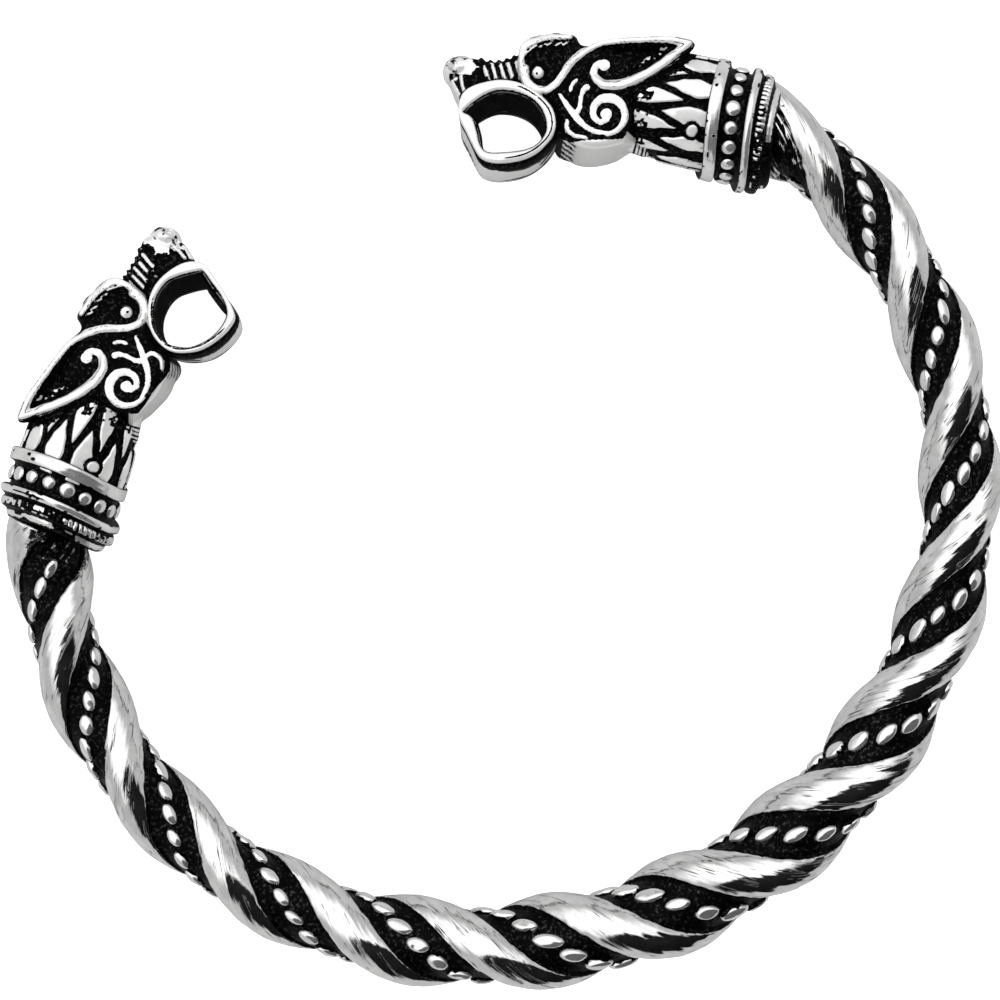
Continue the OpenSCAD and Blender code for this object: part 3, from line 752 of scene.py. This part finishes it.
def head_field(spec):
    """Signed distance field of a head over its grid, for the near half, and the face fields."""
    f = fields(spec)
    u, v = f["u"][..., None], f["v"][..., None]
    ws = np.arange(0, 4.9, CELL) + CELL / 2
    w = ws[None, None, :]
    line = f["line"]

    def deep(key):
        return f[key][..., None]

    high = (ease((1.18 - line) / 0.34) * (0.34 + 0.08 * np.sqrt(np.clip(1 - line**2, 0, 1))))[..., None]
    # neck with its leaves
    rho = np.sqrt((v - neck_axis(u)) ** 2 + w**2)
    leaves = neck_relief(u, v, w, deep("ball"))
    neck_r = np.interp(f["us"], [-0.4, 0.5, 3.0, 6.5, 8.0], [4.02, 4.02, 3.98, 3.55, 3.3])[:, None, None]
    neck = rho - neck_r - 0.26 * leaves
    neck = smax(neck, u - 8.5, 0.3)
    neck = smax(neck, -0.2 - u, 0.1)
    # cheeks and jaw
    rough = 0.03 * noise_at(f["u"] * 5, f["v"] * 5, 0, 51)[..., None]
    dome = np.exp(-(((u - 12.9) / 1.9) ** 2 + ((v - 1.4) / 1.3) ** 2)) * 0.25
    top_fall = 0.45 * ease((v - 1.6) / 1.6)
    crown = 0.15 * np.sqrt(np.clip(1 - (w / 3.9) ** 2, 0, 1)) * ease((v - 1.2) / 1.6)
    crown = crown * ease((u - 9.5) / 2.0) * (1 - ease((u - 13.2) / 1.4))
    mane = 0.20 * mane_field(u, w) * ease((v - 1.2) / 1.0)
    cheek = smax(deep("cheek") - crown - mane, w - (3.72 + rough + dome - top_fall + high), 0.22)
    jaw_w = strap_half(f["us"])[:, None, None]
    jaw = smax(deep("jaw") + spec["jaw_in"] * ease(-v - 3.0), w - jaw_w, 0.6)
    # ears stand off the neck
    dish = 0.45 * ease(-(deep("ear") + 0.45) / 0.7)
    ear_h = np.interp(f["us"], [2.5, 4.5, 7.0, 9.5, 11.5], [3.45, 3.75, 3.95, 3.95, 3.8])[:, None, None]
    ear = smax(deep("ear") - mane, w - (ear_h - dish + high * 0.85), 0.2)
    ear_root = np.interp(f["us"], [2.5, 5.0, 9.0], [2.2, 1.2, 0.0])[:, None, None]
    ear = smax(ear, ear_root - w, 0.3)
    # snout with its ridges, and the nose
    bars = bars_field(f["u"], f["bent"])[..., None]
    snout_h = np.interp(f["us"], [14.2, 16.5, 18.9, 20.0], [3.3, 2.75, 2.3, 1.7])[:, None, None]
    snout = smax(deep("snout") - 0.14 * bars, w - (snout_h + 0.26 * bars + high * 0.6), 0.5)
    f["nose"], _ = line_distance(f["u"], f["v"], np.array(spec["nose"]))
    nose = np.sqrt(deep("nose") ** 2 + (w * spec["nose_r"] / NOSE_HALF) ** 2) - spec["nose_r"]
    nose_u, nose_v = spec["nose"][1]
    nostril = np.sqrt((u - nose_u - 0.35) ** 2 + (v - nose_v) ** 2 + (w - 1.8) ** 2 * 0.6)
    nose = smax(nose, 0.34 - nostril, 0.15)
    # mouth loop: a tube with a belly between two rims
    wall = np.interp(ws, LOOP_WALL[:, 0], LOOP_WALL[:, 1])[None, None, :]
    wall = wall * np.where(wall > 0.03, 1 - ease((u - 16.2) / 1.6), 1.0)
    loop = smax(deep("loop") - wall, w - LOOP_HALF, 0.16)
    solid = smin(cheek, jaw, 0.12)
    solid = smin(solid, ear, 0.10)
    solid = smin(solid, neck, 0.08)
    snout = smin(snout, nose, 0.2)
    solid = smin(solid, snout, 0.12)
    # a dark crease where the throat meets the loop
    crease = np.abs(deep("loop") - 0.24) + 0.3 * ease((u - 12.7) / 0.8)
    solid = smax(solid, -smax(crease - 0.14, 3.35 - w, 0.1), 0.08)
    solid = np.minimum(solid, loop)
    hole = deep("hole") - 0.14 * ease((w - LOOP_HALF + 0.26) / 0.26)
    hole = hole + 0.28 * ease((4.0 - w) / 1.0) * ease((u + 0.35 * v - 14.0) / 1.0) * ease((-3.7 - v) / 0.5)
    solid = smax(solid, -hole, 0.10)
    return f, ws, solid


def look_up(f, key, u, v):
    """Value of a face field at points, between its cells."""
    x = np.clip((u - f["us"][0]) / CELL, 0, len(f["us"]) - 1.001)
    y = np.clip((v - f["vs"][0]) / CELL, 0, len(f["vs"]) - 1.001)
    i, j = x.astype(int), y.astype(int)
    a, b = x - i, y - j
    g = f[key]
    return (
        g[i, j] * (1 - a) * (1 - b) + g[i + 1, j] * a * (1 - b)
        + g[i, j + 1] * (1 - a) * b + g[i + 1, j + 1] * a * b
    )


def head_shape(spec):
    """Face fields, points in the head's own frame, quads and tris."""
    f, ws, near = head_field(spec)
    field = np.concatenate([near[..., ::-1], near], axis=2).astype(np.float32)
    field = np.clip(field, -3 * CELL, 3 * CELL)
    grid = openvdb.FloatGrid(3 * CELL)
    grid.copyFromArray(field, tolerance=0.0)
    points, tris, quads = grid.convertToPolygons(0.0, 0.0)
    low = np.array([f["us"][0], f["vs"][0], -ws[-1]])
    points = np.asarray(points, float) * CELL + low
    return f, points, quads, tris


class Skin:
    """A head's vertices in its own frame, where on the head they lie, and what its black oxide and painted
    shade depend on.
    """

    def __init__(self, f, spec, points, normals):
        u, v, w = points[:, 0], points[:, 1], np.abs(points[:, 2])
        self.spec, self.points, self.u, self.v, self.w = spec, points, u, v, w
        self.ahead, self.up = normals[:, 0], np.abs(normals[:, 2])
        self.line, self.pupil, self.edge_line = (look_up(f, key, u, v) for key in ("line", "pupil", "return"))
        self.cheek, self.ear, self.jaw = (look_up(f, key, u, v) for key in ("cheek", "ear", "jaw"))
        self.loop, self.hole, self.bent = (look_up(f, key, u, v) for key in ("loop", "hole", "bent"))
        self.face = np.minimum(self.cheek, self.ear)
        self.leaves = neck_relief(u, v, w, look_up(f, "ball", u, v))
        self.nose = np.sqrt((look_up(f, "nose", u, v) / spec["nose_r"]) ** 2 + (w / NOSE_HALF) ** 2)
        self.speckle = noise(points * 2.6, 71) * 0.6 + noise(points * 6.5, 72) * 0.5
        self.on_face = (self.face < 0.12) & (w > 2.6) & (self.up > 0.35) & (u < 15.4)
        on_jaw = (self.jaw < -0.2) & (v < -3.0) & (w < strap_half(u) + 0.1)
        self.on_neck = (u < 6.5) & (self.face > 0.03) & ~on_jaw
        plate = (self.jaw < 0.15) & (u > 4.3) & (v < -3.1) & (self.cheek > -0.02) & (w < strap_half(u) + 0.2)
        strap = (v < 0) & (u > 4.3) & (u < 6.3) & (w < strap_half(u) - 0.06)
        self.on_plate = plate | strap
        self.on_loop = self.loop < 0.40
        self.on_rim = (w > 3.6) & (self.up > 0.3)


def face_soot(s, soot_and_shade):
    """Black apart from the raised lines, with flecks of bare metal inside the ear, along its edge."""
    recess = np.maximum(ease((s.line - 0.86) / 0.3), 1 - ease((s.pupil - 0.9) / 0.3))
    fleck = np.exp(-(((s.edge_line - 2.5) / 0.9) ** 2))
    fleck = fleck * ease((8.5 - s.u) / 3.5) * ease(-(s.ear + 0.5) / 0.2)
    dusty = 0.8 * fleck * ease((noise(s.points * 5.5, 79) + 0.4 * s.speckle - 0.12) / 0.2)
    # hairline scratches beside the middle of the lines
    scratch = (1 - ease((np.abs(s.line - 0.5) - 0.05) / 0.08)) * ease((noise(s.points * 0.9, 75) + 0.1) / 0.3)
    scratch = np.where(dot(s.u, s.v, s.spec["eye"], EYE_R) < 1.6, 0.0, scratch)
    return np.where(s.on_face, np.maximum(recess, 0.75 * scratch) - dusty, soot_and_shade)


def crown_soot(s, soot_and_shade):
    """Black between the tufts of hair on the outer side, between the faces."""
    upper = ~s.on_face & (s.v > 0.8) & (s.u > 2.0) & (s.u < 15.6) & ((s.face < 0.1) | (s.u > 6.0))
    tufts = 1 - ease((mane_field(s.u, s.w) - 0.42) / 0.25)
    return np.where(upper, np.where(s.v > 1.5, tufts, 0.9 + 0.3 * s.speckle), soot_and_shade)


def neck_soot_and_shade(s, soot_and_shade):
    """Black between the leaves, and painted shade: dark on the leaves' ends where the neck runs in under the
    cheek, behind the ear's edge, and in dark veins on the sides.
    """
    # painted shade, speckled, where the neck runs in under the cheek
    painted_shade = 1.2 * ease((s.u - 4.3) / 1.2) * (0.46 + 1.2 * s.speckle)
    phi = round_neck(s.u, s.v, s.w)
    # painted shade on the neck's sides: dark veins, heavier away from the top
    vein = np.abs(noise_at(s.u * 0.4, phi / 3.0, 0, 76)) + 0.25 * np.abs(s.speckle)
    painted_shade = np.maximum(painted_shade, 0.7 * ease((np.abs(phi) - 25) / 30) * (1 - ease((vein - 0.04) / 0.08)))
    # painted shade in a band beside the ear's edge, where the ear stands off the neck
    ear_shade = (1 - ease((s.ear - 0.65 - 0.45 * s.speckle) / 0.3)) * (s.w > 1)
    between = 1 - ease((s.leaves - 0.35) / 0.4)
    return np.where(s.on_neck, np.maximum.reduce([between, painted_shade, ear_shade]), soot_and_shade)


def jaw_soot_and_shade(s, soot_and_shade):
    """Painted shade on the cheek's back edge, made black where it faces back, and ticks across the strap
    where the jaw meets the neck.
    """
    # painted shade: the back-facing side of the cheek's edge is made black
    cheek_back_shade = (s.ahead < -0.35) & (s.u > 5.6) & (s.u < 7.2) & (s.v > -3.4) & (s.line > 1.0)
    soot_and_shade = np.where(cheek_back_shade, 1.0, soot_and_shade)
    soot_and_shade = np.where(s.on_plate, 0.12 + 0.2 * s.speckle, soot_and_shade)
    tick = 0.95 * ease((np.cos(2 * np.pi * s.u / TICK_STEP) + 0.1) / 0.4)
    return np.where(s.on_plate & (s.u < TICKS_TO), tick, soot_and_shade)


def snout_soot(s, soot_and_shade):
    """Bare bars on the snout's sides and across its bridge, a bare patch on the nose, dark gums."""
    bars = bars_field(s.u, s.bent)
    middle = BAR_SLOPE * (s.u - 15.7)
    beside = np.abs(s.bent - middle) < BAR_HALF + 0.35 * s.speckle
    barred = 1 - ease((bars - 0.42 + 0.35 * s.speckle) / 0.25)
    on_snout = (s.u > 14.6) & (s.u < 18.6 + 0.6 * s.speckle) & (s.v > -1.5)
    on_snout &= (s.cheek > 0.04) & (s.loop > 0)
    soot_and_shade = np.where(on_snout, np.where(beside | (s.w < 1.4), barred, 0.85 + 0.5 * s.speckle), soot_and_shade)
    high = ease((s.v - s.spec["nose"][0][1] - 0.1) / 0.4)
    edge = np.exp(-(((s.nose - 0.88) / 0.07) ** 2)) * high * (0.7 + s.speckle)
    shaded = 0.3 * ease((noise(s.points * [1.2, 2.2, 1.2], 80) - 0.1) / 0.3)
    patch = s.u > 18.15 + 0.45 * s.speckle + s.spec["patch_fall"] * np.maximum(-s.v - 0.1, 0)
    patch &= (s.loop > 0.1) & ((s.nose < 1.1) | ((s.v < 0) & (s.v > -2.1)))
    soot_and_shade = np.where(patch, 0.16 + 0.7 * edge + 0.35 * s.speckle + shaded, soot_and_shade)
    mouth = (s.u > 17.2) & (s.v < -0.7) & ~patch & (s.loop > 0.02) & (s.v > -3.4)
    return np.where(mouth, ease((s.line - 0.86) / 0.3), soot_and_shade)


def loop_soot_and_glint(s, soot_and_shade):
    """Bare rim with a thin dark line, black recess, pale belly, black inside the loop with pale painted
    reflection streaks near its rims.
    """
    hair = np.exp(-(((s.loop + LOOP_LINE) / 0.075) ** 2)) * (s.w > LOOP_HALF - 0.2)
    hair = hair * ease((15.6 - s.u) / 1.2) * ease((s.speckle + 0.75) / 0.3)
    black_from = 2.1 - 0.8 * ease((16.0 - s.u) / 2.5) + 0.2 * s.speckle
    wall = ease((s.w - black_from) / 0.25) * (1 - ease((s.w - 3.66) / 0.1))
    wall = np.maximum(wall, 0.35 * (s.w < 2.0) * ease((s.speckle - 0.45) / 0.2))
    soot_and_shade = np.where(s.on_loop & (s.hole > 0.1), np.where(s.on_rim, hair, wall), soot_and_shade)
    # painted reflections: pale streaks along the hole's wall close to its rims, and finer ones more often
    # towards them
    wander = 0.25 * noise(s.points * 0.5, 77)
    painted_glint = np.exp(-(((s.w - 3.72 + wander) / 0.11) ** 2)) * ease((s.speckle + 0.45) / 0.3)
    fine = noise(s.points * [0.5, 0.5, 3.2], 81) * 0.7 + noise(s.points * [1.6, 1.6, 7.0], 82) * 0.5
    painted_glint = np.maximum(painted_glint, 0.62 * ease((s.w - 1.4) / 1.6) * ease((fine - 0.42) / 0.2))
    inside = (s.hole < 0.10) & (s.hole > -0.4) & (s.w < LOOP_HALF - 0.12)
    return np.where(inside, 1.0 - painted_glint, soot_and_shade)


def throat_soot(s, soot_and_shade):
    """Black crease between loop and throat, and the dark rays beside it."""
    throat = (s.loop > 0.05) & (s.loop < 0.8) & (s.u < 12.7) & (s.v < -0.6) & (s.line > 1.1)
    throat &= np.minimum(s.cheek, s.jaw) < 0.12
    soot_and_shade = np.where(throat, 0.95, soot_and_shade)
    along, across = RAYS_AT
    ray = np.cos(RAY_RISE * s.points[:, 2] + RAY_TURN * np.abs(s.u - along) + 1.2 * s.speckle)
    near = np.hypot(s.u - along, s.v - across) < 1.4 + 0.6 * s.speckle + 0.5 * (s.u > along)
    near &= (s.v < -4.2) & (s.w < 4.2)
    return np.where(near, np.maximum(soot_and_shade, ease((ray + 0.3) / 0.4)), soot_and_shade)


def head_soot_and_shade(s):
    """Where a head is black, from 0 to 1: black oxide, and in places painted shade and painted reflections.
    """
    soot_and_shade = np.full(len(s.u), 0.1)
    for region in (face_soot, crown_soot, neck_soot_and_shade, jaw_soot_and_shade, snout_soot, loop_soot_and_glint, throat_soot):
        soot_and_shade = region(s, soot_and_shade)
    return soot_and_shade


def head_grey(s):
    """Where a head is satin grey and not polished: the loop's belly, the jaw, the nose and some leaves."""
    grey = np.where(s.on_loop & ~s.on_rim, 1.0, 0.0)
    grey = np.where(s.on_loop & s.on_rim, 0.55 * ease((s.loop + 0.16) / 0.16), grey)
    grey = np.where(s.on_plate, 1.0, grey)
    grey = np.where((s.u > 17.6) & (s.nose < 1.2), ease((1.0 - s.nose + 0.35 * s.speckle) / 0.5), grey)
    return np.where(s.on_neck, np.clip(0.05 + 0.8 * noise(s.points * 1.1, 73), 0, 0.7), grey)


def head_frame(spec):
    """Places a head: the frame of its end, with the slight lean, shift and shear of its own."""
    place = end_frame(spec["side"], spec["lean"], spec["shift"])
    along, outward = spec["shear"]

    def sheared(p):
        p = np.array(p, float)
        far = p[..., 2] - 4.0
        p[..., 1] += outward * far * ease((p[..., 0] - 1.0) / 5.0)
        p[..., 0] += along * far * ease((p[..., 0] - 10.0) / 4.0)
        return place(p)

    return sheared


def head(name, spec):
    f, points, quads, tris = head_shape(spec)
    piece = new_mesh(name, [head_frame(spec)(points)], [quads], [tris])
    face_outward(piece)
    normals = np.zeros(len(piece.data.vertices) * 3, np.float32)
    piece.data.vertices.foreach_get("normal", normals)
    # turned back to the head's own axes
    normals = normals.reshape(-1, 3).astype(float)
    turn = 90 - HEAD_TURN + spec["lean"]
    x, y = -spec["side"] * normals[:, 0], normals[:, 1]
    ahead, outward = x * cosd(turn) + y * sind(turn), y * cosd(turn) - x * sind(turn)
    skin = Skin(f, spec, points, np.stack([ahead, outward, normals[:, 2]], -1))
    for key, values in (("soot_and_shade", head_soot_and_shade(skin)), ("grey", head_grey(skin))):
        data = piece.data.attributes.new(key, "FLOAT", "POINT")
        data.data.foreach_set("value", values.astype(np.float32))
    return piece


# materials
class Nodes:
    """Short way to write a node tree."""

    def __init__(self, tree):
        self.tree = tree
        tree.nodes.clear()

    def add(self, kind, values=None, **settings):
        node = self.tree.nodes.new(kind)
        for key, value in settings.items():
            setattr(node, key, value)
        for key, value in (values or {}).items():
            socket = node.inputs[key]
            if isinstance(value, bpy.types.NodeSocket):
                self.tree.links.new(value, socket)
            else:
                socket.default_value = value
        return node

    def math(self, operation, *values):
        return self.add("ShaderNodeMath", dict(enumerate(values)), operation=operation).outputs[0]

    def step(self, value, low, high, to_low=0.0, to_high=1.0):
        return self.add(
            "ShaderNodeMapRange",
            {"Value": value, "From Min": low, "From Max": high, "To Min": to_low, "To Max": to_high},
            interpolation_type="SMOOTHSTEP",
        ).outputs[0]

    def noise(self, vector, scale, detail=2.0, rough=0.5):
        values = {"Vector": vector, "Scale": scale, "Detail": detail, "Roughness": rough}
        return self.add("ShaderNodeTexNoise", values).outputs[0]

    def stretched(self, vector, along, across, detail=2.0, rough=0.5):
        """Noise with its own scale along the vector's first axis and across it."""
        values = {"Vector": vector, "Scale": (along, across, 1.0)}
        place = self.add("ShaderNodeMapping", values, vector_type="POINT").outputs[0]
        return self.noise(place, 1.0, detail, rough)

    def mix(self, amount, low, high):
        """Colour between low and high, each a socket or a red, green and blue."""
        low, high = (c if isinstance(c, bpy.types.NodeSocket) else (*c, 1) for c in (low, high))
        return self.add("ShaderNodeMix", {0: amount, 6: low, 7: high}, data_type="RGBA").outputs[2]

    def attribute(self, name, output="Fac"):
        return self.add("ShaderNodeAttribute", attribute_name=name).outputs[output]


SATIN, SATIN_DARK = (0.84, 0.84, 0.83), (0.58, 0.58, 0.57)
# black of the oxide, also used for painted shade and painted dark reflections, and its dusty specks
SOOT_AND_SHADE, SOOT_AND_SHADE_DUST = (0.004, 0.004, 0.0045), (0.06, 0.058, 0.06)


def dark_reflection_lines(n, flow):
    """Painted dark reflections: thin black lines along the strands, in patches."""
    lines = n.stretched(flow, 0.15, 2.7)
    thin = n.step(n.math("ABSOLUTE", n.math("SUBTRACT", lines, 0.5)), 0.008, 0.026, 1.0, 0.0)
    patches = n.step(n.stretched(flow, 0.5, 0.9), 0.52, 0.58)
    return n.math("MULTIPLY", n.math("MULTIPLY", thin, patches), 0.9)


def hand_polish(n, flow):
    """Height of the brush marks and soft lumps along the strands."""
    brushed = n.stretched(flow, 0.34, 4.6, rough=0.55)
    lumps = n.stretched(flow, 1.1, 2.8, 3.0, 0.6)
    return n.math("ADD", n.math("MULTIPLY", brushed, 0.4), n.math("MULTIPLY", lumps, 0.6))


def antiqued(name, bright, dull, polish_rough, shine=1.0, strands=False, satin=False):
    """Worn metal, black where its black attribute is high: black oxide, and on some pieces painted shade and
    painted reflections. With shine below 1 it is whiter and softer.

    strands gives it marks that follow the strands, bumps and painted dark reflection lines, and satin makes
    it matt where grey is high.
    """
    mat = bpy.data.materials.new(name)
    mat.use_nodes = True
    n = Nodes(mat.node_tree)
    place = n.add("ShaderNodeTexCoord").outputs["Object"]
    mottle = n.noise(place, 900.0, 4.0, 0.6)
    ragged = n.noise(place, 3800.0, 3.0, 0.6)
    pits = n.noise(place, 3600.0, 3.0, 0.65)
    edge = n.math("MULTIPLY", n.math("SUBTRACT", ragged, 0.5), 0.55)
    black = n.step(n.math("ADD", n.attribute("soot_and_shade"), edge), 0.42, 0.58)
    height = n.math("MULTIPLY", mottle, 0.25)
    if strands:
        flow = n.attribute("flow", "Vector")
        # painted dark reflections along the strands
        black = n.math("MAXIMUM", black, dark_reflection_lines(n, flow))
        height = n.math("ADD", height, hand_polish(n, flow))
    height = n.math("ADD", height, n.math("MULTIPLY", n.math("MULTIPLY", ragged, black), 1.6))
    metal = n.mix(n.step(mottle, 0.35, 0.7), dull, bright)
    if satin:
        grain = n.step(n.noise(place, 12000.0, 1.0), 0.3, 0.7, 0.86, 1.0)
        metal = n.mix(n.attribute("grey"), metal, n.mix(grain, SATIN_DARK, SATIN))
    soot_and_shade_colour = n.mix(n.step(pits, 0.53, 0.70), SOOT_AND_SHADE, SOOT_AND_SHADE_DUST)
    polished = n.math("MULTIPLY_ADD", mottle, 0.07, polish_rough)
    bump = n.add("ShaderNodeBump", {"Strength": 0.35, "Distance": 0.00006, "Height": height})
    shader = n.add("ShaderNodeBsdfPrincipled", {
        "Base Color": n.mix(black, metal, soot_and_shade_colour),
        "Metallic": n.step(black, 0.2, 0.9, shine, 1.0) if shine < 1 else 1.0,
        "Roughness": n.math("ADD", n.math("MULTIPLY", black, 0.42), polished),
        "Normal": bump.outputs[0],
    })
    n.add("ShaderNodeOutputMaterial", {"Surface": shader.outputs[0]})
    return mat


def finish_piece(piece, material, node):
    piece.data.materials.append(material)
    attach(piece, "root")
    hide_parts(node)


# build
rope_metal = antiqued("rope_metal", (0.90, 0.90, 0.89), (0.76, 0.76, 0.76), 0.045, strands=True)
bead_metal = antiqued("bead_metal", (0.92, 0.92, 0.91), (0.74, 0.74, 0.74), 0.12, 0.9)
collar_metal = antiqued("collar_metal", (0.95, 0.95, 0.94), (0.80, 0.80, 0.80), 0.14, 0.85, satin=True)
head_metal = antiqued("head_metal", (0.93, 0.93, 0.92), (0.80, 0.80, 0.80), 0.22, 0.45, satin=True)

finish_piece(rope(), rope_metal, "twisted_hoop")
finish_piece(beads("channel_beads_1", 90, 5), bead_metal, "bead_row_1")
finish_piece(beads("channel_beads_2", 270, 6), bead_metal, "bead_row_2")
for word, spec in HEADS.items():
    place = end_frame(spec["side"], 0.0, *spec["collar"])
    piece = collar("end_collar_" + word, place, 61 + spec["side"], spec["teeth_to"], *spec["dark_reflection"])
    finish_piece(piece, collar_metal, "collar_" + word)
    finish_piece(head("beast_head_" + word, spec), head_metal, "head_" + word)

# floor, light and camera
IMAGE_TURN = -29.5
WHITE = (1, 1, 1, 1)
FLOOR_HALF, FLOOR_GREY, FLOOR_GLOW = 3.0, (0.5, 0.5, 0.5, 1), 0.95


def image_dir(right, up, towards):
    """A direction given in the photograph's own right, up and towards the viewer."""
    c, s = cosd(IMAGE_TURN), sind(IMAGE_TURN)
    d = np.array([right * c - up * s, right * s + up * c, towards])
    return tuple(d / np.linalg.norm(d))


# What the metal reflects: a dark side, its edge as cosines, and a key that fades away from its middle
DARK_WAY, DARK_EDGE, DARK_GLOW = image_dir(0.463, -0.637, 0.616), (0.665, 0.735), 0.006
KEY_WAY, KEY_EDGE, KEY_GLOW = image_dir(-0.15, 0.25, 1.0), (0.45, 0.93), (0.55, 1.4)
# What lights it: the glow at the horizon, and how much more there is overhead
LOW_GLOW, OVERHEAD = 0.55, 1.45
CAMERA_X, CAMERA_Y, CAMERA_ABOVE = -0.246, OVAL_Y + 0.341, 135.0
SENSOR, IMAGE_PX, MM_PER_PX = 36.0, 1000, 0.0765


def pale_floor():
    """A plain floor that the camera sees white."""
    h = FLOOR_HALF
    mesh = bpy.data.meshes.new("floor")
    mesh.from_pydata([(-h, -h, 0), (h, -h, 0), (h, h, 0), (-h, h, 0)], [], [(0, 1, 2, 3)])
    floor = bpy.data.objects.new("floor", mesh)
    bpy.context.scene.collection.objects.link(floor)
    mat = bpy.data.materials.new("pale_floor")
    mat.use_nodes = True
    n = Nodes(mat.node_tree)
    seen = n.add("ShaderNodeLightPath").outputs["Is Camera Ray"]
    shader = n.add("ShaderNodeBsdfPrincipled", {
        "Base Color": FLOOR_GREY, "Roughness": 0.6,
        "Emission Color": WHITE, "Emission Strength": n.math("MULTIPLY", seen, FLOOR_GLOW),
    })
    n.add("ShaderNodeOutputMaterial", {"Surface": shader.outputs[0]})
    mesh.materials.append(mat)


def studio_light():
    """One soft surround, which is shaped into a bright and a dark side for reflections alone."""
    world = bpy.data.worlds.new("studio")
    bpy.context.scene.world = world
    world.use_nodes = True
    n = Nodes(world.node_tree)
    rays = n.add("ShaderNodeLightPath")
    way = n.add("ShaderNodeTexCoord").outputs["Generated"]

    def towards(direction):
        return n.add("ShaderNodeVectorMath", {0: way, 1: direction}, operation="DOT_PRODUCT").outputs["Value"]

    def glow(strength):
        return n.add("ShaderNodeBackground", {"Color": WHITE, "Strength": strength}).outputs[0]

    def choose(ray, others, own):
        return n.add("ShaderNodeMixShader", {0: rays.outputs[ray], 1: others, 2: own}).outputs[0]

    bright = n.step(towards(DARK_WAY), *DARK_EDGE, 1.0, 0.0)
    key = n.step(towards(KEY_WAY), *KEY_EDGE, *KEY_GLOW)
    reflected = n.math("MULTIPLY_ADD", bright, key, DARK_GLOW)
    height = n.add("ShaderNodeSeparateXYZ", {0: way}).outputs[2]
    overhead = n.math("MULTIPLY_ADD", n.math("MULTIPLY", height, height), OVERHEAD, LOW_GLOW)
    soft = choose("Is Camera Ray", glow(overhead), glow(1.0))
    n.add("ShaderNodeOutputWorld", {"Surface": choose("Is Glossy Ray", soft, glow(reflected))})


def photo_camera():
    """The photograph's camera, which looks straight down on the lying ring."""
    data = bpy.data.cameras.new("camera")
    data.sensor_width = SENSOR
    data.lens = SENSOR * CAMERA_ABOVE / (IMAGE_PX * MM_PER_PX)
    data.clip_start = 0.01
    camera = bpy.data.objects.new("camera", data)
    camera.location = (CAMERA_X * MM, CAMERA_Y * MM, (AXIS_Z + CAMERA_ABOVE) * MM)
    camera.rotation_euler = (0, 0, math.radians(IMAGE_TURN))
    bpy.context.scene.collection.objects.link(camera)
    bpy.context.scene.camera = camera
    bpy.context.scene.view_settings.view_transform = "Standard"


pale_floor()
studio_light()
photo_camera()
